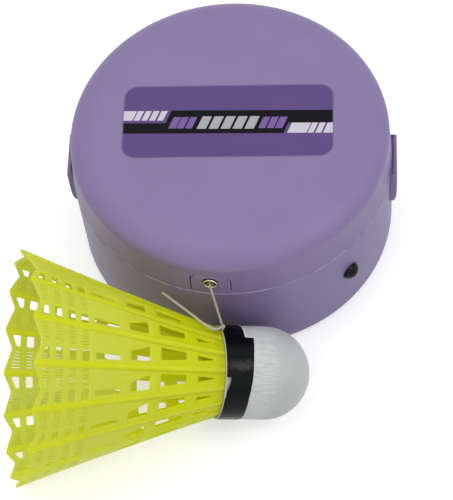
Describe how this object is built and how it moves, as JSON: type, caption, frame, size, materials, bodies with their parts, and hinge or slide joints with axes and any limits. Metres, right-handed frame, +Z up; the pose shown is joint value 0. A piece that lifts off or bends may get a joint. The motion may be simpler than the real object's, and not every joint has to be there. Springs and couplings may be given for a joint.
{
  "type": "badminton rebound trainer",
  "caption": "Round two-part case with a ballast tank, cord reel and lift-off lid, with a nylon shuttlecock tied to the cord at its eyelet.",
  "frame": {"origin": "on the case's axis, at the underside of the anti-slip pad, on the surface it stands on", "axes": "+Z up along the case's axis; the eyelet's side is -Y; the fill plug is on the +X side of the front"},
  "size_m": [0.1138, 0.1464, 0.0633],
  "materials": {
    "case_plastic": "fine satin moulded plastic, lavender",
    "label": "satin printed label with bars and a stripe",
    "plug_rubber": "smooth black rubber",
    "foot_pad": "matt black foam rubber",
    "inner_plastic": "satin off-white plastic",
    "eyelet_metal": "pale polished metal",
    "steel": "plated steel",
    "skirt_nylon": "translucent yellow-green nylon",
    "cork_skin": "pale grey synthetic leather with fine creases",
    "neck_tape": "glossy black tape",
    "cord": "pale stretch cord"
  },
  "bodies": {
    "base": {"base_shell": "case_plastic", "anti_slip_pad": "foot_pad", "tank_cover": "inner_plastic", "eyelet": "eyelet_metal", "eyelet_washer": "steel", "reel_washer": "steel", "reel_screw": "steel", "latch_pin_right": "steel", "latch_pin_left": "steel", "cord_run": "cord", "cord_lead": "cord"},
    "lid": {"lid_shell": "case_plastic", "lid_label": "label"},
    "right_latch": {"latch_right": "case_plastic"},
    "left_latch": {"latch_left": "case_plastic"},
    "plug": {"fill_plug": "plug_rubber"},
    "reel": {"reel_spool": "inner_plastic", "reel_cap": "inner_plastic", "spare_cord_core": "cord", "spare_cord_turns": "cord"},
    "shuttle": {"shuttle_skirt": "skirt_nylon", "shuttle_cork": "cork_skin", "nose_weight": "steel", "tape_band": "neck_tape", "cord_tie": "cord", "cord_knot": "cord", "cord_tail": "cord"}
  },
  "joints": [
    {"name": "lid_lift", "type": "slide", "parent": "base", "child": "lid", "axis": [0, 0, 1], "range_m": [0, 0.045]},
    {"name": "right_latch_hinge", "type": "hinge", "parent": "base", "child": "right_latch", "pos_m": [0.0441, 0, 0.0231], "axis": [0, 1, 0], "range_deg": [0, 40]},
    {"name": "left_latch_hinge", "type": "hinge", "parent": "base", "child": "left_latch", "pos_m": [-0.0441, 0, 0.0231], "axis": [0, -1, 0], "range_deg": [0, 40]},
    {"name": "plug_pull", "type": "slide", "parent": "base", "child": "plug", "axis": [0.7349, -0.6782, 0], "range_m": [0, 0.012]},
    {"name": "reel_turn", "type": "hinge", "parent": "base", "child": "reel", "pos_m": [0, 0, 0.032], "axis": [0, 0, 1], "continuous": true},
    {"name": "shuttle_pull", "type": "slide", "parent": "base", "child": "shuttle", "axis": [0, -1, 0], "range_m": [0, 0.05], "deforming": ["cord_lead"]}
  ]
}
